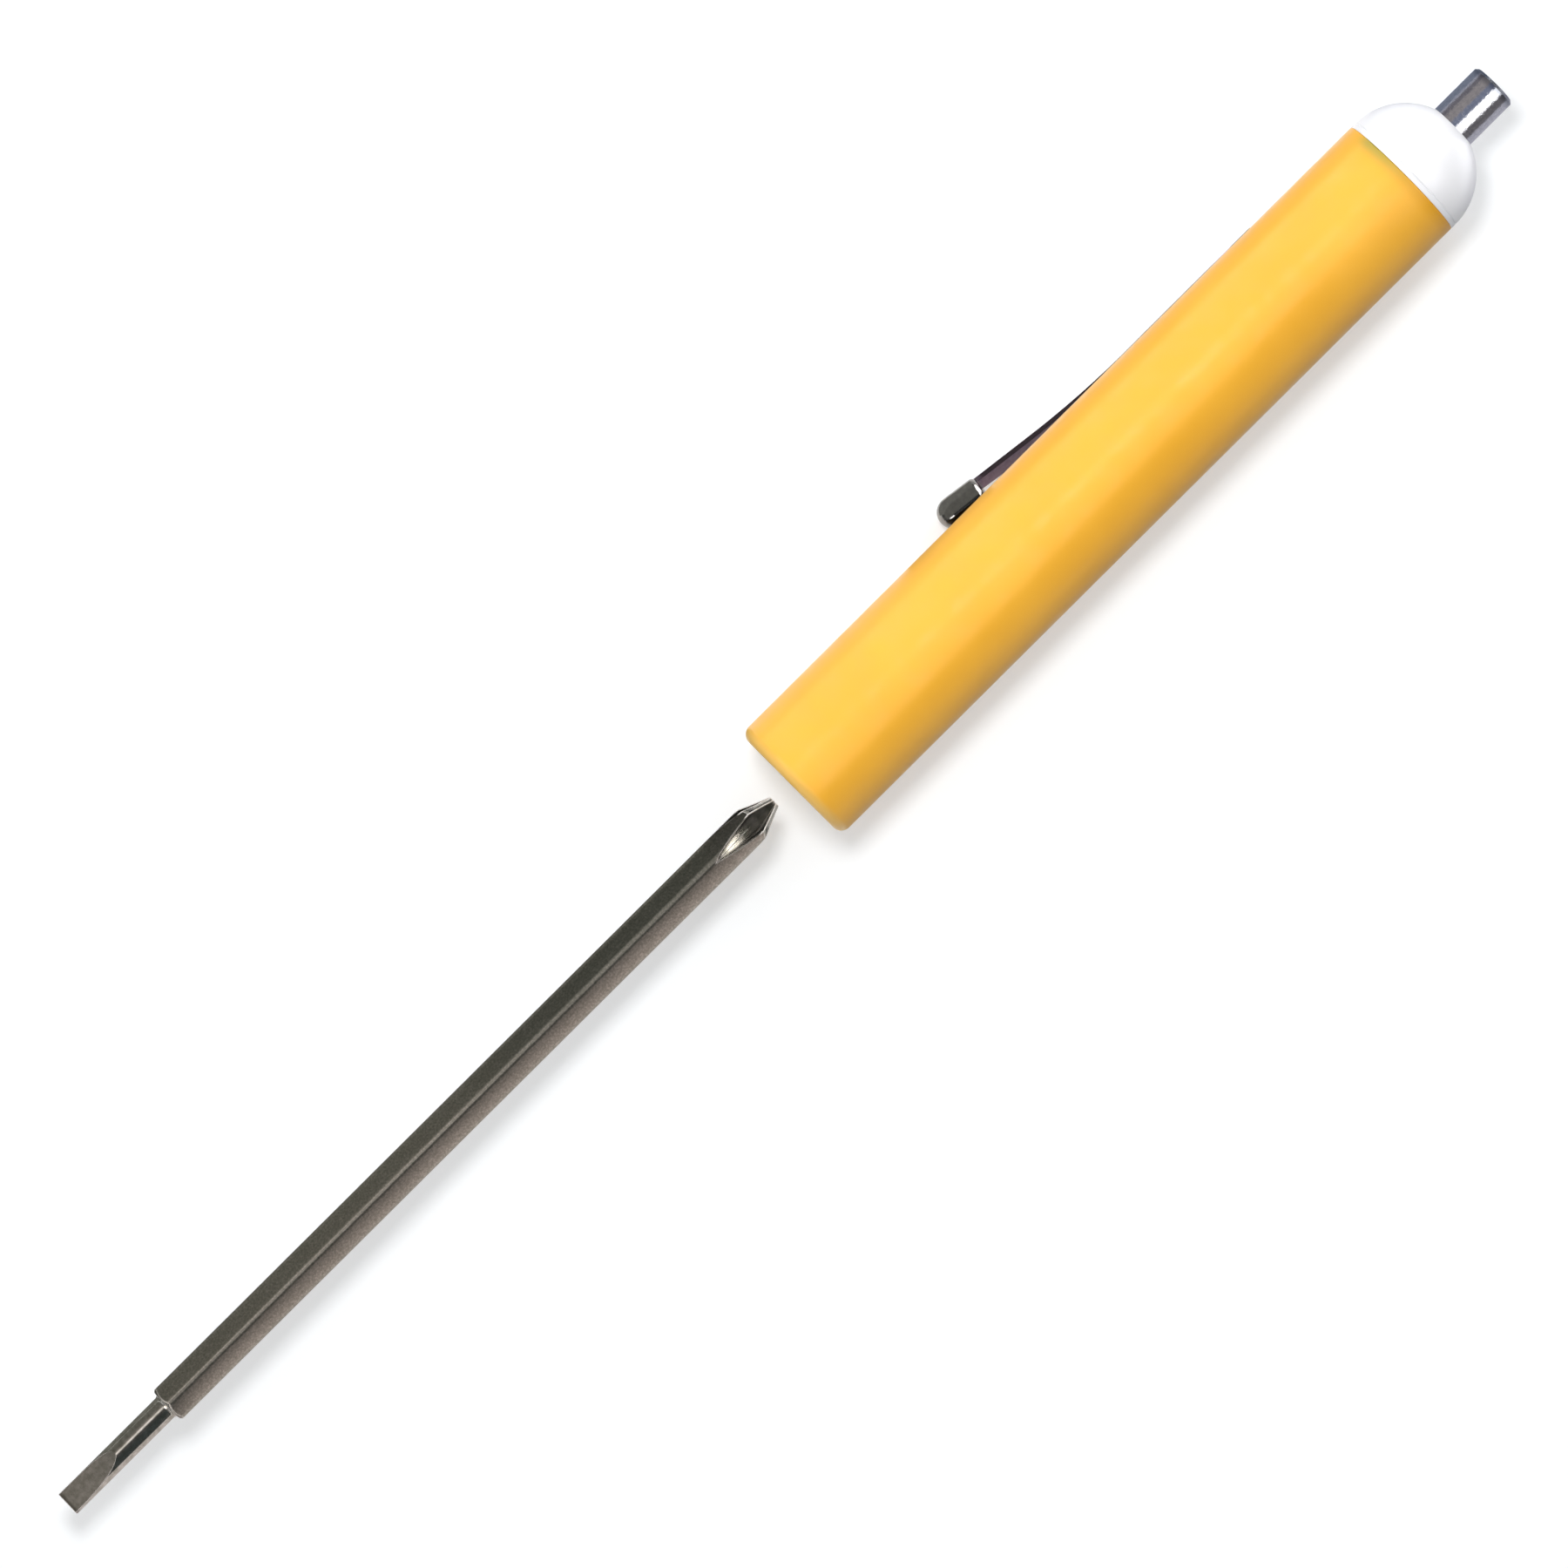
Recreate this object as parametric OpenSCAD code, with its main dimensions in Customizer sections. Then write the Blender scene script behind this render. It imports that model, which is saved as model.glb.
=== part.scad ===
// Pocket screwdriver with a reversible blade, a pocket clip and a pick-up magnet.
// X runs along the tool and +Z is up. The origin is the centre of the barrel's mouth.
// The blade lies drawn out in front of the mouth, its cross point towards the barrel.
// The barrel and the ball of the clip lie on one flat surface, below the axis.

/* [Barrel] */
// Outside diameter of the barrel
barrel_d = 12.7; // [11.5:0.1:16]
// Length of the barrel from its mouth to the end cap
barrel_l = 76.8; // [74:0.1:95]
// Thickness of the barrel's wall
barrel_wall = 1.6; // [1.2:0.1:2]
// Thickness of the wall across the nose
nose_wall = 2; // [1.5:0.1:4]
// Radius of the rounded edge round the nose
nose_r = 1; // [0.4:0.1:1.4]
// Radius of the broken edge round the cap end
rim_r = 0.15; // [0.1:0.05:0.4]

/* [Blade socket] */
// Depth of the socket from the mouth to its stop
socket_depth = 44; // [36:0.5:52]
// Thickness of the stop behind the socket
stop_wall = 2; // [1:0.1:4]
// Clearance all round the blade in its socket
socket_fit = 0.06; // [0.03:0.01:0.15]
// Width of the flare that leads the blade into the mouth
mouth_flare = 0.4; // [0.2:0.1:1]

/* [Blade spring] */
// Length of the bowed leaf, end to end
leaf_l = 13; // [10:0.5:16]
// Width of the leaf
leaf_w = 2; // [1.4:0.1:2]
// Thickness of the leaf
leaf_t = 0.25; // [0.15:0.05:0.4]
// Distance of the leaf behind the nose wall
leaf_back = 6; // [3:0.5:12]

/* [End cap] */
// Straight lip between the barrel and the dome
cap_lip = 0.5; // [0.2:0.1:2]
// Length of the spigot inside the barrel
spigot_l = 8; // [5:0.5:8]
// Thickness of the spigot's wall round its hollow
spigot_wall = 1.7; // [1.2:0.1:2.2]

/* [Magnet] */
// Diameter of the magnet
magnet_d = 4.5; // [3:0.1:6]
// Length of the magnet
magnet_l = 12.7; // [10:0.1:14]
// How far the magnet stands out beyond the crown of the dome
magnet_proud = 4.9; // [2:0.1:8]
// Chamfer round the magnet's ends
magnet_chamfer = 0.25; // [0.1:0.05:0.5]

/* [Pocket clip] */
// Length of the clip from its root bend to the tip of its ball
clip_l = 38; // [34:0.5:44]
// Length of the straight root that lies along the barrel
clip_flat_l = 14; // [8:0.5:18]
// Radius of the sweep between the straight root and the leaning arm
clip_sweep_r = 77; // [55:1:85]
// Gap between the ball and the barrel
ball_gap = 0.17; // [0.1:0.01:1]
// Thickness of the clip's steel
clip_t = 0.5; // [0.4:0.05:0.7]
// Width of the clip at its root
clip_root_w = 2.4; // [1.8:0.1:4]
// Width of the clip's neck beside the ball
clip_neck_w = 1.4; // [1:0.1:1.5]
// Diameter of the ball
ball_d = 3; // [2.7:0.1:3.2]
// Length of the ball along the arm
ball_l = 4.9; // [4:0.1:5.5]
// Radius of the ball's shoulder beside the neck
ball_shoulder_r = 0.6; // [0.3:0.05:0.8]

/* [Blade] */
// Width of the hexagon across its flats
blade_af = 3.6; // [3.2:0.1:4]
// Radius of the hexagon's rounded corners
corner_r = 0.6; // [0.2:0.05:0.8]
// Length of the blade, point to point
blade_l = 88.9; // [80:0.1:110]
// Clear distance between the cross point and the mouth
blade_out = 2.1; // [0.5:0.1:20]

/* [Cross point] */
// Diameter of the blunt end of the cross point
cross_tip_d = 1.13; // [0.8:0.01:1.3]
// Angle of the cone, to one side of the axis
cross_cone = 26.5; // [24:0.5:30]
// Distance of the flutes' roots from the axis at the point
flute_root = 0.35; // [0.3:0.01:0.45]
// Angle between the two sides of a flute
flute_v = 92; // [88:1:96]
// Radius of the wheel that cuts the flutes
flute_wheel_r = 19; // [12:0.5:25]
// Turn of the flutes away from the corners of the hexagon
flute_turn = 7; // [0:1:45]

/* [Flat point] */
// Diameter of the turned shank behind the flat point
shank_d = 2.4; // [2:0.1:3]
// Length of the shank, with its point
shank_l = 12.5; // [9:0.5:20]
// Thickness of the flat point at its end
flat_t = 0.65; // [0.4:0.05:0.8]
// Radius of the wheel that grinds the flats hollow
grind_r = 23; // [15:1:40]
// Turn of the flats away from a corner of the hexagon
flat_turn = 15; // [0:1:30]
// Chamfer round the hexagon's shoulder
shoulder_chamfer = 0.35; // [0.1:0.05:0.4]
// Radius in the corner between shank and shoulder
shank_fillet = 0.35; // [0.1:0.05:0.4]

/* [Hidden] */
$fn = 96;

// Overrun of every cut past the face that it opens
overrun = 1;
// Sides of the blade and its socket
sides = 6;
// Wings of the cross point
wings = 4;

// Clearance all round a piece that is pressed into the barrel or the cap
press_fit = 0.02;
// Gap between the blade's flat and the crest of the leaf that rubs on it
rub_gap = 0.03;
// Play all round the leaf in its window, and between its ends and the barrel
leaf_play = 0.1;
// Gap between the barrel and the straight root of the clip
clip_gap = 0.05;
// Play all round the clip's tang in the slot
slot_play = 0.2;
// Longer play behind the tang, through which the foot goes in
slot_entry = 0.8;
// Inner radius of the clip's two root bends
root_bend_r = 0.4;
// Length of the foot that hooks under the barrel's wall
foot_l = 3;
// Gap between the foot's corners and the barrel's bore
foot_gap = 0.1;
// Gap between the end of the foot and the cap's spigot
foot_room = 0.5;
// How far the ball stands proud of the arm's outer face
ball_proud = 0.4;
// Gap between the ball and the surface that the tool lies on
rest_gap = 0.15;
// Thickness of the web between the magnet and the spigot's hollow
magnet_web = 1.2;
// Chamfers that lead the spigot and the insert into the bore
lead_chamfer = 0.4;
// Radius of the fine groove between the cap's lip and its dome
crease_r = 0.08;

// Half the angle of a hexagon's side
half_side = 180 / sides;
barrel_r = barrel_d / 2;
bore_r = barrel_r - barrel_wall;
socket_af = blade_af + 2 * socket_fit;
insert_r = bore_r - press_fit;
insert_back_x = socket_depth + stop_wall;

// The leaf is part of a ring: its outer face meets the bore at the ends and clears the blade at the crest
leaf_x = nose_wall + leaf_back + leaf_l / 2;
leaf_crest_r = blade_af / 2 + rub_gap;
leaf_end_r = sqrt(pow(bore_r - leaf_play, 2) - pow(leaf_w / 2, 2));
leaf_rise = leaf_end_r - leaf_crest_r - leaf_t;
leaf_ring_r = (pow(leaf_l / 2, 2) + pow(leaf_rise, 2)) / (2 * leaf_rise);

dome_r = barrel_r;
dome_x = barrel_l + cap_lip;
spigot_x = barrel_l - spigot_l;
magnet_face_x = dome_x + dome_r + magnet_proud;
magnet_back_x = magnet_face_x - magnet_l;

// Clip, drawn in its own plane: x along the tool, y out from the tool's axis
clip_in_r = barrel_r + clip_gap;
clip_out_r = clip_in_r + clip_t;
clip_back_x = spigot_x - foot_room;
foot_x = clip_back_x - foot_l;
tang_x = foot_x - root_bend_r - clip_t;
clip_root_x = tang_x - root_bend_r;
clip_lift_x = clip_root_x - clip_flat_l;
clip_tip_x = clip_root_x - clip_l;
neck_x = clip_tip_x + ball_l;
foot_out_r = sqrt(pow(bore_r - foot_gap, 2) - pow(clip_root_w / 2, 2));

// The ball is straight between two centres. The back one, beside the neck, keeps its gap to the barrel
ball_r = ball_d / 2;
ball_straight_l = ball_l - ball_r - ball_shoulder_r;
ball_back_x = neck_x - ball_shoulder_r;
ball_back_r = barrel_r + ball_gap + ball_r;
// Seen from the sweep's centre, the back centre lies this far square to the arm and this far along it
arm_square = clip_sweep_r + ball_r - ball_proud;
back_along_x = clip_lift_x - ball_back_x;
back_below = clip_out_r + clip_sweep_r - ball_back_r;
arm_along = sqrt(pow(back_along_x, 2) + pow(back_below, 2) - pow(arm_square, 2));
// The strip of the arm ends inside the ball, half way along its straight part
arm_l = arm_along + ball_straight_l / 2;
// Angle at which the arm leans out towards the ball
clip_rise = atan2(back_along_x, back_below) - atan2(arm_along, arm_square);
ball_front_r = ball_back_r + ball_straight_l * sin(clip_rise);
// Turn of the clip from straight up towards +Y, at which its ball lies just over the surface below
clip_turn = 90 + asin((barrel_r - ball_r - rest_gap) / ball_front_r);

// The corners' centres lie on one circle, and the corners reach a little farther out
corner_centre_r = (blade_af / 2 - corner_r) / cos(half_side);
corner_reach = corner_centre_r + corner_r;
cross_x = -blade_out;
flat_x = cross_x - blade_l;
shoulder_x = flat_x + shank_l;
cone_l = (corner_reach - cross_tip_d / 2) / tan(cross_cone);

// Lays a shape that is drawn along Z along +X, from x
module along_x(x) {
    translate([x, 0, 0]) rotate([0, 90, 0]) children();
}

// Round bar along X
module bar(x, length, radius) {
    along_x(x) cylinder(r = radius, h = length);
}

// Hexagon bar along X, with a corner at the top
module hex_bar(x, length, across_flats) {
    along_x(x) cylinder(r = across_flats / 2 / cos(half_side), h = length, $fn = sides);
}

// Round bar along X with chamfered ends, each chamfer given by its own width
module chamfered_bar(x, length, radius, front, back) {
    outline = [
        [0, 0],
        [radius - front, 0],
        [radius, front],
        [radius, length - back],
        [radius - back, length],
        [0, length]
    ];
    along_x(x) rotate_extrude() polygon(outline);
}

// Barrel: a tube with a round-edged nose, a hexagon mouth and the clip's slot
module barrel() {
    color([1, 0.81, 0.35]) difference() {
        along_x(0) rotate_extrude() union() {
            square([barrel_r - nose_r, nose_r]);
            translate([0, nose_r]) square([barrel_r, barrel_l - nose_r - rim_r]);
            translate([0, barrel_l - rim_r]) square([barrel_r - rim_r, rim_r]);
            translate([barrel_r - nose_r, nose_r]) circle(r = nose_r);
            translate([barrel_r - rim_r, barrel_l - rim_r]) circle(r = rim_r);
        }
        bar(nose_wall, barrel_l - nose_wall + overrun, bore_r);
        hex_bar(-overrun, nose_wall + 2 * overrun, socket_af);
        along_x(0) mouth_cone();
        clip_place() clip_slot();
    }
}

// Flare of the mouth, a countersink that dies out on the socket's flats
module mouth_cone() {
    mouth_r = socket_af / 2 / cos(half_side) + mouth_flare;
    flat_r = socket_af / 2;
    outline = [
        [0, -overrun],
        [mouth_r + overrun, -overrun],
        [flat_r, mouth_r - flat_r],
        [0, mouth_r - flat_r]
    ];
    rotate_extrude() polygon(outline);
}

// Socket insert: a plug with a blind hexagon bore and a window for the leaf
module socket_insert() {
    window_l = leaf_l + 2 * leaf_play;
    window_w = leaf_w + 2 * leaf_play;
    color([0.93, 0.92, 0.88]) difference() {
        chamfered_bar(nose_wall, insert_back_x - nose_wall, insert_r, lead_chamfer, lead_chamfer);
        hex_bar(nose_wall - overrun, socket_depth - nose_wall + overrun, socket_af);
        translate([leaf_x - window_l / 2, -insert_r - overrun, -window_w / 2])
            cube([window_l, insert_r + overrun, window_w]);
    }
}

// Blade spring: a bowed leaf whose crest rubs on a flat of the blade
module blade_spring() {
    centre_y = -leaf_crest_r - leaf_t - leaf_ring_r;
    color([0.62, 0.64, 0.68]) intersection() {
        translate([leaf_x, centre_y, -leaf_w / 2]) difference() {
            cylinder(r = leaf_ring_r + leaf_t, h = leaf_w);
            translate([0, 0, -overrun]) cylinder(r = leaf_ring_r, h = leaf_w + 2 * overrun);
        }
        translate([leaf_x - leaf_l / 2, -bore_r, -leaf_w]) cube([leaf_l, bore_r, 2 * leaf_w]);
    }
}

// End cap: a dome on a short lip, with a hollow spigot and the magnet's seat
module end_cap() {
    seat_r = magnet_d / 2 + press_fit;
    hollow_r = bore_r - press_fit - spigot_wall;
    hollow_l = magnet_back_x - magnet_web - spigot_x;
    color([0.96, 0.96, 0.97]) difference() {
        union() {
            chamfered_bar(spigot_x, spigot_l + cap_lip, bore_r - press_fit, lead_chamfer, 0);
            bar(barrel_l, cap_lip, barrel_r);
            along_x(dome_x) rotate_extrude() intersection() {
                circle(r = dome_r);
                square(dome_r);
            }
        }
        bar(magnet_back_x, magnet_l, seat_r);
        bar(spigot_x - overrun, hollow_l + overrun, hollow_r);
        along_x(dome_x) rotate_extrude() translate([barrel_r, 0]) circle(r = crease_r);
    }
}

// Magnet: a plated rod, pressed into the cap
module magnet() {
    color([0.72, 0.73, 0.76])
        chamfered_bar(magnet_back_x, magnet_l, magnet_d / 2, magnet_chamfer, magnet_chamfer);
}

// Turns a shape drawn in the clip's plane to the clip's place on the barrel
module clip_place() {
    rotate([-clip_turn, 0, 0]) rotate([90, 0, 0]) children();
}

// Slot through the barrel's wall for the clip's tang
module clip_slot() {
    width = clip_root_w + 2 * slot_play;
    length = clip_t + slot_play + slot_entry;
    translate([tang_x - slot_play, 0, -width / 2]) cube([length, barrel_r + overrun, width]);
}

// Quarter of a ring, as a bend in the clip's steel, with its open side towards -x and +y
module bend(inner_r) {
    intersection() {
        difference() {
            circle(r = inner_r + clip_t);
            circle(r = inner_r);
        }
        square(inner_r + clip_t);
    }
}

// Side view of the clip's strip: leaning arm, sweep, root, tang and foot
module clip_side() {
    sweep_in_r = clip_sweep_r + clip_t;
    wedge_l = sweep_in_r + overrun;
    tang_top_r = clip_in_r - root_bend_r;
    tang_foot_r = foot_out_r + root_bend_r;
    translate([clip_lift_x, clip_out_r + clip_sweep_r]) {
        rotate(-clip_rise) translate([-arm_l, -sweep_in_r]) square([arm_l, clip_t]);
        intersection() {
            difference() {
                circle(r = sweep_in_r);
                circle(r = clip_sweep_r);
            }
            translate([-wedge_l, -wedge_l]) square(wedge_l);
            rotate(-clip_rise) translate([0, -wedge_l]) square(wedge_l);
        }
    }
    translate([clip_lift_x, clip_in_r]) square([clip_flat_l, clip_t]);
    translate([clip_root_x, tang_top_r]) bend(root_bend_r);
    translate([tang_x, tang_foot_r]) square([clip_t, tang_top_r - tang_foot_r]);
    translate([foot_x, tang_foot_r]) rotate(180) bend(root_bend_r);
    translate([foot_x, foot_out_r - clip_t]) square([foot_l, clip_t]);
}

// Plan of the clip's strip, tapering from its root to its neck
module clip_plan() {
    polygon([
        [clip_back_x, clip_root_w / 2],
        [clip_lift_x, clip_root_w / 2],
        [neck_x, clip_neck_w / 2],
        [clip_tip_x, clip_neck_w / 2],
        [clip_tip_x, -clip_neck_w / 2],
        [neck_x, -clip_neck_w / 2],
        [clip_lift_x, -clip_root_w / 2],
        [clip_back_x, -clip_root_w / 2]
    ]);
}

// Ball of the clip, in line with the arm: a round end, a straight body and a round-edged shoulder
module clip_ball() {
    shoulder_in_r = ball_r - ball_shoulder_r;
    translate([ball_back_x, ball_back_r, 0]) rotate([0, 0, -clip_rise]) rotate([0, -90, 0])
        rotate_extrude() union() {
            translate([0, ball_straight_l]) intersection() {
                circle(r = ball_r);
                square(ball_r);
            }
            square([ball_r, ball_straight_l]);
            translate([shoulder_in_r, 0]) circle(r = ball_shoulder_r);
            translate([0, -ball_shoulder_r]) square([shoulder_in_r, ball_shoulder_r]);
        }
}

// Pocket clip: a tapering sprung strip with a ball end, hooked into the barrel's slot
module pocket_clip() {
    reach_r = ball_front_r + ball_d;
    color([0.55, 0.54, 0.57]) clip_place() union() {
        intersection() {
            translate([0, 0, -clip_root_w]) linear_extrude(2 * clip_root_w) clip_side();
            rotate([-90, 0, 0]) translate([0, 0, -reach_r]) linear_extrude(2 * reach_r) clip_plan();
        }
        clip_ball();
    }
}

// Hexagon with rounded corners, one of them on the x axis
module rounded_hexagon() {
    flat_l = 2 * corner_centre_r * sin(half_side);
    for (i = [0 : sides - 1])
        rotate(i * 360 / sides) {
            translate([corner_centre_r, 0]) circle(r = corner_r);
            rotate(half_side) translate([0, -flat_l / 2]) square([blade_af / 2, flat_l]);
        }
}

// Hexagon of the blade, turned to a cone at the cross point and chamfered at the shoulder
module blade_hexagon() {
    hex_l = cross_x - shoulder_x;
    outline = [
        [0, 0],
        [corner_reach - shoulder_chamfer, 0],
        [corner_reach, shoulder_chamfer],
        [corner_reach, hex_l - cone_l],
        [cross_tip_d / 2, hex_l],
        [0, hex_l]
    ];
    intersection() {
        along_x(shoulder_x) linear_extrude(hex_l) rounded_hexagon();
        along_x(shoulder_x) rotate_extrude() polygon(outline);
    }
}

// Turned shank of the flat point, with a fillet into the shoulder
module blade_shank() {
    bar(flat_x, shank_l + overrun, shank_d / 2);
    along_x(shoulder_x - shank_fillet) rotate_extrude() difference() {
        square([shank_d / 2 + shank_fillet, shank_fillet]);
        translate([shank_d / 2 + shank_fillet, 0]) circle(r = shank_fillet);
    }
}

// Edged wheels that cut the flutes of the cross point
module flute_wheels() {
    edge_h = 2 * corner_reach;
    edge_w = edge_h * tan(flute_v / 2);
    outline = [
        [0, -edge_w],
        [flute_wheel_r - edge_h, -edge_w],
        [flute_wheel_r, 0],
        [flute_wheel_r - edge_h, edge_w],
        [0, edge_w]
    ];
    for (i = [0 : wings - 1])
        rotate([flute_turn + i * 360 / wings, 0, 0])
            translate([cross_x, 0, flute_root + flute_wheel_r])
                rotate([90, 0, 0]) rotate_extrude() polygon(outline);
}

// Wheels that grind the two flats hollow
module grinding_wheels() {
    for (side = [0, 180])
        rotate([side - flat_turn, 0, 0])
            translate([flat_x, shank_d, flat_t / 2 + grind_r])
                rotate([90, 0, 0]) cylinder(r = grind_r, h = 2 * shank_d);
}

// Blade: one bar of steel with a cross point and a flat point
module blade() {
    color([0.36, 0.35, 0.33]) difference() {
        union() {
            blade_hexagon();
            blade_shank();
        }
        flute_wheels();
        grinding_wheels();
    }
}

barrel();
socket_insert();
blade_spring();
end_cap();
magnet();
pocket_clip();
blade();
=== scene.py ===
"""Looks of the pocket screwdriver: its camera, its light and the finish of every piece."""

import math

import bpy
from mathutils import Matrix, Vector


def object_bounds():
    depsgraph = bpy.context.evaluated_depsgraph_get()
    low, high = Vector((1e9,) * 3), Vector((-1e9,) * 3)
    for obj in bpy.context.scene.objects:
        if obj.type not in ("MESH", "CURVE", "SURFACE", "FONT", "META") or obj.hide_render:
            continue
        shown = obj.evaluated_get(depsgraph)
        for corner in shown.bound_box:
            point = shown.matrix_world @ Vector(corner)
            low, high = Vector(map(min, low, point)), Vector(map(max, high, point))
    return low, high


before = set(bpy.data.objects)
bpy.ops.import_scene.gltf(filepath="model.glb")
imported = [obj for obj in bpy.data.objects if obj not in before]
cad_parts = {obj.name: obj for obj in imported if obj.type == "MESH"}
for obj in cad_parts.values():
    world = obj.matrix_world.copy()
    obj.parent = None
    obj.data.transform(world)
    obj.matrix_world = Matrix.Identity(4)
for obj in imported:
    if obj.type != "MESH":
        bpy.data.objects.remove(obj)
cad_low, cad_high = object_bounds()

MM = 0.001

# Camera: it looks straight down, and the tool's axis runs from lower left to upper right
VIEW_WIDTH = 139.9 * MM
VIEW_HEIGHT = 1070 * MM
VIEW_CENTRE = (-0.39 * MM, 0.5 * MM)
VIEW_TURN = math.radians(-44.85)
SENSOR = 36

# Light: lamps by their tilt from upright, their turn from +X, their distance, size and level
KEY = (math.radians(16), math.radians(70), 0.5, 0.135, 0.53)
FILL = (math.radians(66), math.radians(10), 1.5, 1.2, 0.38)
# A dome that leans to one side and is brighter towards the tool's ends
DOME_LEVEL = 0.3
DOME_LEAN = (0, 0.28, 0)
DOME_ENDS = 0.6

# Floor: its own colour, a trace blue against the barrel's warm light, and how far it is lifted
# to white for the eye and for mirrors
FLOOR_COLOUR = (0.634, 0.65, 0.665)
FLOOR_LIFT = 0.42
FLOOR_SIZE = 4
FLOOR_Z = cad_low.z
# Sheets on the floor: how far they reach and how high they lie over it, in millimetres
SHEET_REACH = 1900
SHEET_HEIGHT = 0.1

# Places along the tool, in millimetres from the barrel's mouth
FLAT_TIP = -91
CROSS_ROOT = (-6.5, -5)
CROSS_TIP = -2.1
NOSE_EDGE = (1.2, 0.4)
BALL_ROOT = (31.2, 30.8)
BARREL_END = 76.8
MAGNET_END = 88.55

# Blade: the cone of its cross point, by its slope and its radius at the tip
CONE_SLOPE = math.tan(math.radians(26.5))
CONE_TIP = 0.565
# Blade: a place is ground if it lies nearer to the axis than this, measured square to the hexagon's flats
BLADE_GROUND = 1.7
# Blade: bright steel where its edges are worn, also the white of the painted highlight on the wing crests
WORN_STEEL_AND_GLINT = (0.97, 0.94, 0.92)


def add(tree, kind, values=None, **settings):
    """A new node. Values set its sockets, and a socket given as a value is linked."""
    node = tree.nodes.new(kind)
    for name, value in settings.items():
        setattr(node, name, value)
    for name, value in (values or {}).items():
        if isinstance(value, bpy.types.NodeSocket):
            tree.links.new(value, node.inputs[name])
        else:
            node.inputs[name].default_value = value
    return node


def calc(tree, operation, *values):
    """The result of one Math node."""
    node = add(tree, "ShaderNodeMath", dict(enumerate(values)), operation=operation)
    return node.outputs[0]


def ramp(tree, value, stops):
    """A colour ramp over 0 to 1. Each stop is a place and a colour."""
    node = add(tree, "ShaderNodeValToRGB", {0: value})
    elements = node.color_ramp.elements
    while len(elements) < len(stops):
        elements.new(1)
    for element, (place, colour) in zip(elements, stops):
        element.position = place
        element.color = (*colour, 1)
    return node.outputs[0]


def mix(tree, share, first, second, blend="MIX"):
    """Two colours, blended by a share."""
    node = add(tree, "ShaderNodeMix", data_type="RGBA", blend_type=blend)
    for index, value in ((0, share), (6, first), (7, second)):
        if isinstance(value, bpy.types.NodeSocket):
            tree.links.new(value, node.inputs[index])
        else:
            node.inputs[index].default_value = value if index == 0 else (*value, 1)
    return node.outputs[2]


def between(tree, value, low, high, start=0.0, end=1.0):
    """A smooth change from start to end while the value goes from low to high."""
    values = {"Value": value, "From Min": low, "From Max": high, "To Min": start, "To Max": end}
    return add(tree, "ShaderNodeMapRange", values, interpolation_type="SMOOTHSTEP").outputs[0]


def make_camera():
    """The photograph's camera, with a long lens."""
    camera = bpy.data.cameras.new("camera")
    camera.sensor_width = SENSOR
    camera.lens = SENSOR * VIEW_HEIGHT / VIEW_WIDTH
    camera.clip_start = 0.01
    camera.clip_end = 20
    eye = bpy.data.objects.new("camera", camera)
    eye.location = (*VIEW_CENTRE, VIEW_HEIGHT)
    eye.rotation_euler = (0, 0, VIEW_TURN)
    bpy.context.scene.collection.objects.link(eye)
    bpy.context.scene.camera = eye


def new_tree(name):
    """A new material with an empty node tree."""
    material = bpy.data.materials.new(name)
    material.use_nodes = True
    material.node_tree.nodes.clear()
    return material, material.node_tree


def seen_directly(tree):
    """1 for rays from the camera, from mirrors and through glass, 0 for rays that light a surface."""
    rays = add(tree, "ShaderNodeLightPath").outputs
    seen = calc(tree, "MAXIMUM", rays["Is Camera Ray"], rays["Is Glossy Ray"])
    return calc(tree, "MAXIMUM", seen, rays["Is Transmission Ray"])


def make_floor():
    """A plain pale floor that keeps the shadow."""
    bpy.ops.mesh.primitive_plane_add(size=FLOOR_SIZE, location=(0, 0, FLOOR_Z))
    floor = bpy.context.object
    floor.name = "floor"
    material, tree = new_tree("floor")
    paint = add(tree, "ShaderNodeBsdfDiffuse", {"Color": (*FLOOR_COLOUR, 1)})
    level = calc(tree, "MULTIPLY", seen_directly(tree), FLOOR_LIFT)
    lift = add(tree, "ShaderNodeEmission", {"Strength": level})
    both = add(tree, "ShaderNodeAddShader", {0: paint.outputs[0], 1: lift.outputs[0]})
    add(tree, "ShaderNodeOutputMaterial", {"Surface": both.outputs[0]})
    floor.data.materials.append(material)


def mirrored_studio(tree, way):
    """What metal sees: panels round the tool's axis by their angle from upright, and its plain ends."""
    side = calc(tree, "ARCTAN2", calc(tree, "MULTIPLY", way["Y"], -1), way["Z"])
    turn = calc(tree, "ADD", calc(tree, "DIVIDE", side, 2 * math.pi), 0.5)
    panels = [
        (-120, (0.24, 0.24, 0.22)),
        (-70, (0.15, 0.148, 0.13)),
        (-45, (0.15, 0.147, 0.13)),
        (-25, (0.25, 0.23, 0.21)),
        (-16, (1.1, 1.04, 1)),
        (-10, (1.1, 1.04, 1)),
        (-1, (0.07, 0.07, 0.07)),
        (49, (0.07, 0.07, 0.07)),
        (68, (0.65, 0.56, 0.54)),
        (110, (0.7, 0.66, 0.64)),
    ]
    across = ramp(tree, turn, [(degrees / 360 + 0.5, colour) for degrees, colour in panels])
    ends = between(tree, calc(tree, "ABSOLUTE", way["X"]), 0.4, 0.8)
    return mix(tree, ends, across, (0.2, 0.195, 0.19))


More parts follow.
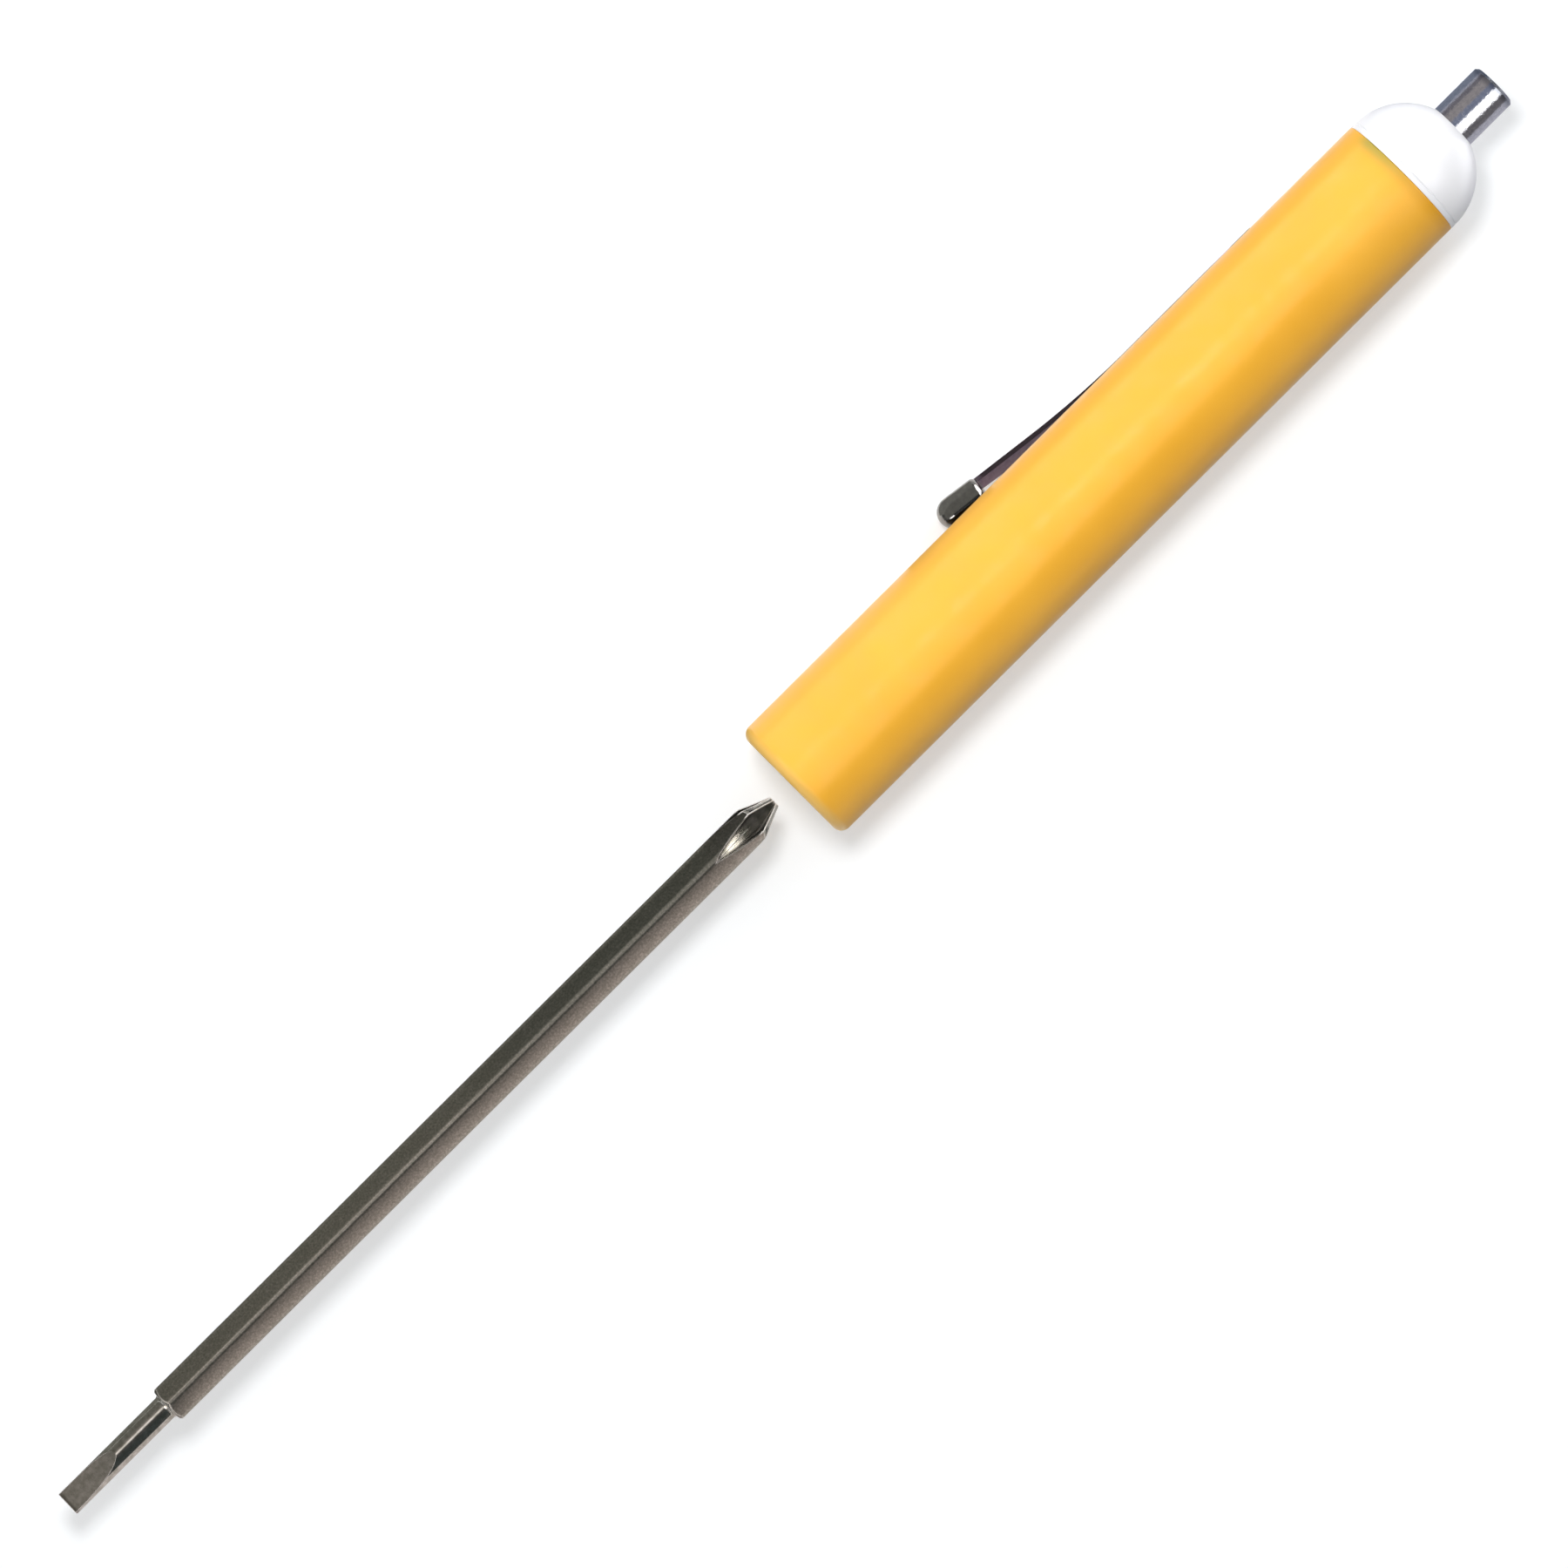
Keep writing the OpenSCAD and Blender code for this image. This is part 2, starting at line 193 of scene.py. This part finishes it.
def make_world():
    """White to the eye, a leaning dome to matt surfaces, and a studio with panels to metal."""
    world = bpy.data.worlds.new("studio")
    world.use_nodes = True
    tree = world.node_tree
    tree.nodes.clear()
    rays = add(tree, "ShaderNodeLightPath").outputs
    place = add(tree, "ShaderNodeTexCoord").outputs["Generated"]
    way = add(tree, "ShaderNodeSeparateXYZ", {0: place}).outputs
    lean = add(tree, "ShaderNodeVectorMath", {0: place, 1: DOME_LEAN}, operation="DOT_PRODUCT")
    ends = calc(tree, "MULTIPLY", calc(tree, "POWER", way["X"], 2), DOME_ENDS)
    dome = calc(tree, "ADD", calc(tree, "ADD", lean.outputs["Value"], DOME_LEVEL), ends)
    lit = mix(tree, rays["Is Glossy Ray"], dome, mirrored_studio(tree, way))
    direct = calc(tree, "MAXIMUM", rays["Is Camera Ray"], rays["Is Transmission Ray"])
    light = add(tree, "ShaderNodeBackground", {"Color": mix(tree, direct, lit, (1, 1, 1)), "Strength": 1})
    add(tree, "ShaderNodeOutputWorld", {"Surface": light.outputs[0]})
    bpy.context.scene.world = world


def make_lamp(name, tilt, turn, distance, size, level):
    """A round lamp that lights the tool, and that mirrors don't see."""
    lamp = bpy.data.lights.new(name, "AREA")
    lamp.shape = "DISK"
    lamp.size = size
    lamp.energy = level * math.pi ** 2 * distance ** 2
    holder = bpy.data.objects.new(name, lamp)
    aside = math.sin(tilt)
    way = Vector((aside * math.cos(turn), aside * math.sin(turn), math.cos(tilt)))
    holder.location = way * distance
    holder.rotation_mode = "QUATERNION"
    holder.rotation_quaternion = way.to_track_quat("Z", "Y")
    holder.visible_glossy = False
    bpy.context.scene.collection.objects.link(holder)


def make_card(name, corners, level, only=()):
    """A panel that mirrors see and the eye doesn't. Given pieces, it shines on their surfaces only."""
    mesh = bpy.data.meshes.new(name)
    mesh.from_pydata([Vector(corner) * MM for corner in corners], [], [(0, 1, 2, 3)])
    card = bpy.data.objects.new(name, mesh)
    bpy.context.scene.collection.objects.link(card)
    material, tree = new_tree(name)
    surface = add(tree, "ShaderNodeEmission", {"Color": (*level, 1), "Strength": 1}).outputs[0]
    if only:
        clear = add(tree, "ShaderNodeBsdfTransparent").outputs[0]
        surface = add(tree, "ShaderNodeAddShader", {0: surface, 1: clear}).outputs[0]
        pieces = bpy.data.collections.new(name)
        for piece in only:
            pieces.objects.link(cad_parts[piece])
        card.light_linking.receiver_collection = pieces
    add(tree, "ShaderNodeOutputMaterial", {"Surface": surface})
    mesh.materials.append(material)
    card.visible_camera = False
    card.visible_diffuse = False
    card.visible_shadow = False
    card.visible_transmission = False


def around(degrees, distance):
    """A place (y, z) round the tool's axis, by its angle from upright towards -Y."""
    angle = math.radians(degrees)
    return -distance * math.sin(angle), distance * math.cos(angle)


def panel(ends, first, last):
    """Corners of a panel along the tool, between two long sides given as (y, z)."""
    return [(ends[0], *first), (ends[1], *first), (ends[1], *last), (ends[0], *last)]


def screen(x, left, right, low, high):
    """Corners of an upright panel across the tool."""
    return [(x, left, low), (x, right, low), (x, right, high), (x, left, high)]


def sheet(ends, near, far):
    """Corners of a panel that lies on the floor along the tool."""
    low = FLOOR_Z / MM + SHEET_HEIGHT
    return panel(ends, (near, low), (far, low))


def make_handle_cards():
    """A softbox that is wider at the nose, sheets on the floor, and the ball's own surroundings."""
    nose, rim, away = -4, 78, 30
    upper = around(-86, away)
    softbox = [(nose, *upper), (rim, *upper), (rim, *around(18, away)), (nose, *around(40, away))]
    make_card("softbox", softbox, (2.6, 2.6, 2.6), ["barrel", "end_cap"])
    make_card("handle_sheet", sheet((20, 80), 12, SHEET_REACH), (0.65, 0.65, 0.65))
    make_card("barrel_sheet", sheet((0, 80), -6.5, -80), (0.5, 0.5, 0.5))
    make_card("cap_sheet", panel((90, 125), (-4, -5.9), (-40, -5.9)), (1.6, 1.6, 1.65), ["end_cap"])
    make_card("ball_flag", panel((21, 31.5), (6.5, -1.2), (10.8, -1.2)), (0.3, 0.3, 0.28))
    make_card("ball_side", panel((21, 31.5), (10.8, -1.2), (10.8, -6.3)), (0.4, 0.4, 0.38))
    make_card("ball_window", panel((-28, 12), (-8, 44), (-36, 31)), (6, 6, 6), ["pocket_clip"])
    make_card("ball_screen", screen(62, -30, 40, -2, 80), (6, 6, 6), ["pocket_clip"])


def make_magnet_cards():
    """Panels round the magnet, each from one angle to the next, two sheets on the floor and an end."""
    ends, away = (80, 120), 60
    panels = [
        (-97, (0.48, 0.49, 0.56)),
        (-86, (0.21, 0.2, 0.22)),
        (-60, (0.36, 0.335, 0.33)),
        (-19, (0.25, 0.28, 0.37)),
        (11, (2.6, 2.6, 2.6)),
        (51, (0.18, 0.172, 0.18)),
        (97, None),
    ]
    for (first, level), (last, _) in zip(panels, panels[1:]):
        make_card("magnet_panel", panel(ends, around(first, away), around(last, away)), level)
    make_card("magnet_sheet", sheet(ends, 2.3, away), (0.24, 0.27, 0.34))
    make_card("magnet_sheet", sheet(ends, -2.3, -away), (0.52, 0.52, 0.58))
    make_card("magnet_end", screen(102, -30, 30, 0, 30), (0.12, 0.12, 0.13))


def make_blade_cards():
    """Sheets on the floor, dark panels beside and over the blade, and windows for its bright spots."""
    ends, away = (-110, -3), 40
    make_card("blade_sheet", sheet(ends, 2.5, SHEET_REACH), (0.2, 0.2, 0.18))
    make_card("blade_sheet", sheet(ends, -2.5, -SHEET_REACH), (0.6, 0.55, 0.53))
    make_card("flute_shade", panel((-9, 0.5), (8, FLOOR_Z / MM), (8, 10)), (0.06, 0.06, 0.055))
    make_card("blade_shade", panel((-38, 25), around(-88, away), around(-32, away)), (0.07, 0.075, 0.065))
    make_card("ridge_shade", panel((-38, -4), around(-32, away), around(-3, away)), (0.45, 0.44, 0.42))
    make_card("shank_shade", panel((-89, -79.5), around(20, 20), around(84, 20)), (0.05, 0.06, 0.06))
    make_card("flute_top", panel((-4, 34), around(-32, away), around(-3, away)), (0.08, 0.08, 0.075))
    make_card("flute_window", panel((12, 32), (-7, 35), (7, 35)), (5.5, 5.4, 5.3), ["blade"])
    make_card("shank_window", screen(-125, -8, 8, 8, 60), (3, 2.8, 2.7), ["blade"])


def new_finish(name):
    """A new material: its tree, its shader and its own coordinates in millimetres."""
    material, tree = new_tree(name)
    shader = add(tree, "ShaderNodeBsdfPrincipled")
    add(tree, "ShaderNodeOutputMaterial", {"Surface": shader.outputs[0]})
    place = add(tree, "ShaderNodeTexCoord").outputs["Object"]
    scale = add(tree, "ShaderNodeVectorMath", {0: place}, operation="SCALE")
    scale.inputs["Scale"].default_value = 1 / MM
    return material, tree, shader, scale.outputs[0]


def noise(tree, place, scale, detail=2, roughness=0.5, stretch=None):
    """Noise from 0 to 1, at a scale in turns per millimetre."""
    if stretch:
        place = add(tree, "ShaderNodeMapping", {"Vector": place, "Scale": stretch}).outputs[0]
    values = {"Vector": place, "Scale": scale, "Detail": detail, "Roughness": roughness}
    return add(tree, "ShaderNodeTexNoise", values).outputs[0]


def relief(tree, shader, height, edge=0):
    """Raises the surface by a height in millimetres, and softens its edges by a radius."""
    values = {"Height": height, "Distance": MM, "Strength": 1}
    if edge:
        values["Normal"] = add(tree, "ShaderNodeBevel", {"Radius": edge * MM}, samples=6).outputs[0]
    tree.links.new(add(tree, "ShaderNodeBump", values).outputs[0], shader.inputs["Normal"])


def barrel_plastic():
    """Smooth yellow plastic, with painted shade along the rim at the cap and a painted sheen round the
    nose.
    """
    material, tree, shader, place = new_finish("barrel_plastic")
    cloud = noise(tree, place, 0.12, 3)
    colour = ramp(tree, cloud, [(0.3, (0.93, 0.46, 0.034)), (0.7, (0.97, 0.495, 0.042))])
    x, y, _ = add(tree, "ShaderNodeSeparateXYZ", {0: place}).outputs
    # Painted shade along the rim at the cap joint, tinted differently on each side of the barrel
    rim = between(tree, x, BARREL_END - 1.5, BARREL_END - 0.1)
    shaded = calc(tree, "MULTIPLY", rim, between(tree, y, 5.7, 4.2))
    shade = mix(tree, between(tree, y, 4, -3), (0.5, 0.735, 1.15), (0.87, 0.82, 0.4))
    colour = mix(tree, shaded, colour, shade, "MULTIPLY")
    # Painted sheen: the base colour turns paler round the nose's rounded edge
    nose = between(tree, x, *NOSE_EDGE, 0, 0.85)
    colour = mix(tree, nose, colour, (1, 0.62, 0.15))
    tree.links.new(colour, shader.inputs["Base Color"])
    smear = noise(tree, place, 0.5, 3)
    tree.links.new(between(tree, smear, 0.3, 0.7, 0.28, 0.38), shader.inputs["Roughness"])
    relief(tree, shader, calc(tree, "MULTIPLY", noise(tree, place, 1.2, 3), 0.007))
    return material


def cap_plastic():
    """Glossy white plastic with faint clouds."""
    material, tree, shader, place = new_finish("cap_plastic")
    cloud = noise(tree, place, 0.2, 3)
    colour = ramp(tree, cloud, [(0.3, (0.92, 0.92, 0.95)), (0.7, (0.94, 0.94, 0.96))])
    tree.links.new(colour, shader.inputs["Base Color"])
    shader.inputs["Roughness"].default_value = 0.3
    relief(tree, shader, calc(tree, "MULTIPLY", cloud, 0.01))
    return material


def insert_plastic():
    """Plain pale plastic with a fine grain."""
    material, tree, shader, place = new_finish("insert_plastic")
    cloud = noise(tree, place, 0.5, 3)
    colour = ramp(tree, cloud, [(0.3, (0.75, 0.74, 0.68)), (0.7, (0.8, 0.79, 0.73))])
    tree.links.new(colour, shader.inputs["Base Color"])
    shader.inputs["Roughness"].default_value = 0.5
    relief(tree, shader, calc(tree, "MULTIPLY", noise(tree, place, 2, 3), 0.01))
    return material


def plating(name, dark, light, roughness, scale, depth, end=None):
    """Plated or rolled steel with clouds and a faint unevenness. Towards a given end it is darker, as
    painted shade.
    """
    material, tree, shader, place = new_finish(name)
    cloud = noise(tree, place, scale, 4, 0.6)
    colour = ramp(tree, cloud, [(0.35, dark), (0.65, light)])
    if end:
        # Painted shade: darker over the last millimetre before the end
        x = add(tree, "ShaderNodeSeparateXYZ", {0: place}).outputs["X"]
        colour = mix(tree, between(tree, x, end - 1, end - 0.3), colour, (0.5, 0.52, 0.55), "MULTIPLY")
    tree.links.new(colour, shader.inputs["Base Color"])
    shader.inputs["Metallic"].default_value = 1
    shader.inputs["Roughness"].default_value = roughness
    relief(tree, shader, calc(tree, "MULTIPLY", cloud, depth), 0.06)
    return material


def clip_plating():
    """Dark plating with a purple tint, which fades out towards the ball."""
    material, tree, shader, place = new_finish("clip_plating")
    cloud = noise(tree, place, 2, 4, 0.6)
    arm = ramp(tree, cloud, [(0.35, (0.2, 0.15, 0.2)), (0.65, (0.25, 0.19, 0.24))])
    ball = ramp(tree, cloud, [(0.35, (0.24, 0.23, 0.22)), (0.65, (0.3, 0.29, 0.27))])
    x = add(tree, "ShaderNodeSeparateXYZ", {0: place}).outputs["X"]
    tree.links.new(mix(tree, between(tree, x, *BALL_ROOT), arm, ball), shader.inputs["Base Color"])
    shader.inputs["Metallic"].default_value = 1
    shader.inputs["Roughness"].default_value = 0.14
    relief(tree, shader, calc(tree, "MULTIPLY", cloud, 0.005), 0.06)
    return material


def worn_edges(tree, radius):
    """1 along sharp edges, fading to 0 at a radius from them."""
    soft = add(tree, "ShaderNodeBevel", {"Radius": radius * MM}, samples=8).outputs[0]
    plain = add(tree, "ShaderNodeNewGeometry").outputs["Normal"]
    same = add(tree, "ShaderNodeVectorMath", {0: soft, 1: plain}, operation="DOT_PRODUCT")
    return between(tree, same.outputs["Value"], 0.994, 0.965)


def wing_crests(tree, way, square):
    """1 along the edges of the cross point's wings, where a highlight is painted, and how far a place
    belongs to that point.
    """
    at_mouth = CONE_TIP + CROSS_TIP * CONE_SLOPE
    cone = calc(tree, "MULTIPLY_ADD", way["X"], -CONE_SLOPE, at_mouth)
    inside = calc(tree, "SUBTRACT", cone, calc(tree, "SQRT", square))
    point = between(tree, way["X"], *CROSS_ROOT)
    outer = calc(tree, "MULTIPLY", between(tree, inside, 0.35, 0.12), point)
    return calc(tree, "MULTIPLY", worn_edges(tree, 0.22), outer), point


def hexagon_reach(tree, way):
    """How far a place lies from the axis, measured square to the nearest flat of the hexagon."""
    half_y = calc(tree, "MULTIPLY", way["Y"], 0.5)
    tilt_z = calc(tree, "MULTIPLY", way["Z"], math.sin(math.radians(60)))
    first = calc(tree, "ABSOLUTE", calc(tree, "ADD", tilt_z, half_y))
    second = calc(tree, "ABSOLUTE", calc(tree, "SUBTRACT", tilt_z, half_y))
    third = calc(tree, "ABSOLUTE", way["Y"])
    return calc(tree, "MAXIMUM", calc(tree, "MAXIMUM", first, second), third)


def drawn_colour(tree, place, speck):
    """Dark plating with specks and long clouds."""
    cloud = noise(tree, place, 0.5, 3, stretch=(0.4, 1, 1))
    stops = [(0.3, (0.36, 0.35, 0.3)), (0.5, (0.5, 0.48, 0.43)), (0.72, (0.74, 0.7, 0.64))]
    return mix(tree, cloud, ramp(tree, speck, stops), (0.82, 0.82, 0.8), "MULTIPLY")


def ground_colour(tree, place, x, reach):
    """Bright stained steel, with painted shade along the rim of the ground places and at the flat point's
    end.
    """
    stain = noise(tree, place, 1.6, 4, 0.6)
    bright = ramp(tree, stain, [(0.35, (0.48, 0.47, 0.42)), (0.65, (0.76, 0.73, 0.69))])
    rim_shade = between(tree, reach, BLADE_GROUND, BLADE_GROUND - 0.55)
    bright = mix(tree, rim_shade, (0.14, 0.135, 0.125), bright)
    tip_shade = between(tree, x, FLAT_TIP + 0.45, FLAT_TIP + 0.15)
    return mix(tree, tip_shade, bright, (0.5, 0.5, 0.48), "MULTIPLY")


def blade_steel():
    """Dark speckled plating on the hexagon, brighter where the points are ground and along worn edges,
    with a painted highlight on the wing crests.
    """
    material, tree, shader, place = new_finish("blade_steel")
    way = add(tree, "ShaderNodeSeparateXYZ", {0: place}).outputs
    reach = hexagon_reach(tree, way)
    ground = between(tree, reach, BLADE_GROUND, BLADE_GROUND - 0.06)
    speck = noise(tree, place, 5, 3, 0.7)
    bright = ground_colour(tree, place, way["X"], reach)
    plain = mix(tree, ground, drawn_colour(tree, place, speck), bright)
    square = calc(tree, "ADD", calc(tree, "POWER", way["Y"], 2), calc(tree, "POWER", way["Z"], 2))
    crest_glint, point = wing_crests(tree, way, square)
    edges = calc(tree, "MULTIPLY", worn_edges(tree, 0.13), calc(tree, "SUBTRACT", 1, point))
    edges = calc(tree, "MAXIMUM", edges, crest_glint)
    tree.links.new(mix(tree, edges, plain, WORN_STEEL_AND_GLINT), shader.inputs["Base Color"])
    # Painted highlight: the wing crests lose their metal and show as white lines
    tree.links.new(between(tree, crest_glint, 0, 1, 1, 0.2), shader.inputs["Metallic"])
    worn = calc(tree, "MULTIPLY_ADD", edges, 0.5, between(tree, ground, 0, 1, 0.32, 0.14))
    tree.links.new(worn, shader.inputs["Roughness"])
    along = calc(tree, "SUBTRACT", square, calc(tree, "POWER", reach, 2))
    crown = calc(tree, "MULTIPLY", calc(tree, "MULTIPLY", along, -0.06), calc(tree, "SUBTRACT", 1, ground))
    height = calc(tree, "MULTIPLY_ADD", speck, between(tree, ground, 0, 1, 0.006, 0.001), crown)
    relief(tree, shader, height, 0.08)
    return material


def finish_nodes():
    """Gives every piece its finish, and keeps the barrel out of mirrored views in the metal."""
    # The magnet gets painted shade towards its end
    magnet = ("magnet_plating", (0.54, 0.54, 0.58), (0.66, 0.66, 0.69), 0.1, 3.5, 0.02, MAGNET_END)
    spring = ("spring_steel", (0.36, 0.38, 0.42), (0.45, 0.47, 0.5), 0.3, 2, 0.004)
    finishes = {
        "barrel": barrel_plastic(),
        "socket_insert": insert_plastic(),
        "blade_spring": plating(*spring),
        "end_cap": cap_plastic(),
        "magnet": plating(*magnet),
        "pocket_clip": clip_plating(),
        "blade": blade_steel(),
    }
    for name, material in finishes.items():
        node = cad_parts[name]
        node.data.materials.clear()
        node.data.materials.append(material)
    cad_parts["barrel"].visible_glossy = False


bpy.context.scene.view_settings.view_transform = "Standard"
make_camera()
make_floor()
make_world()
make_lamp("key", *KEY)
make_lamp("fill", *FILL)
make_handle_cards()
make_magnet_cards()
make_blade_cards()
finish_nodes()
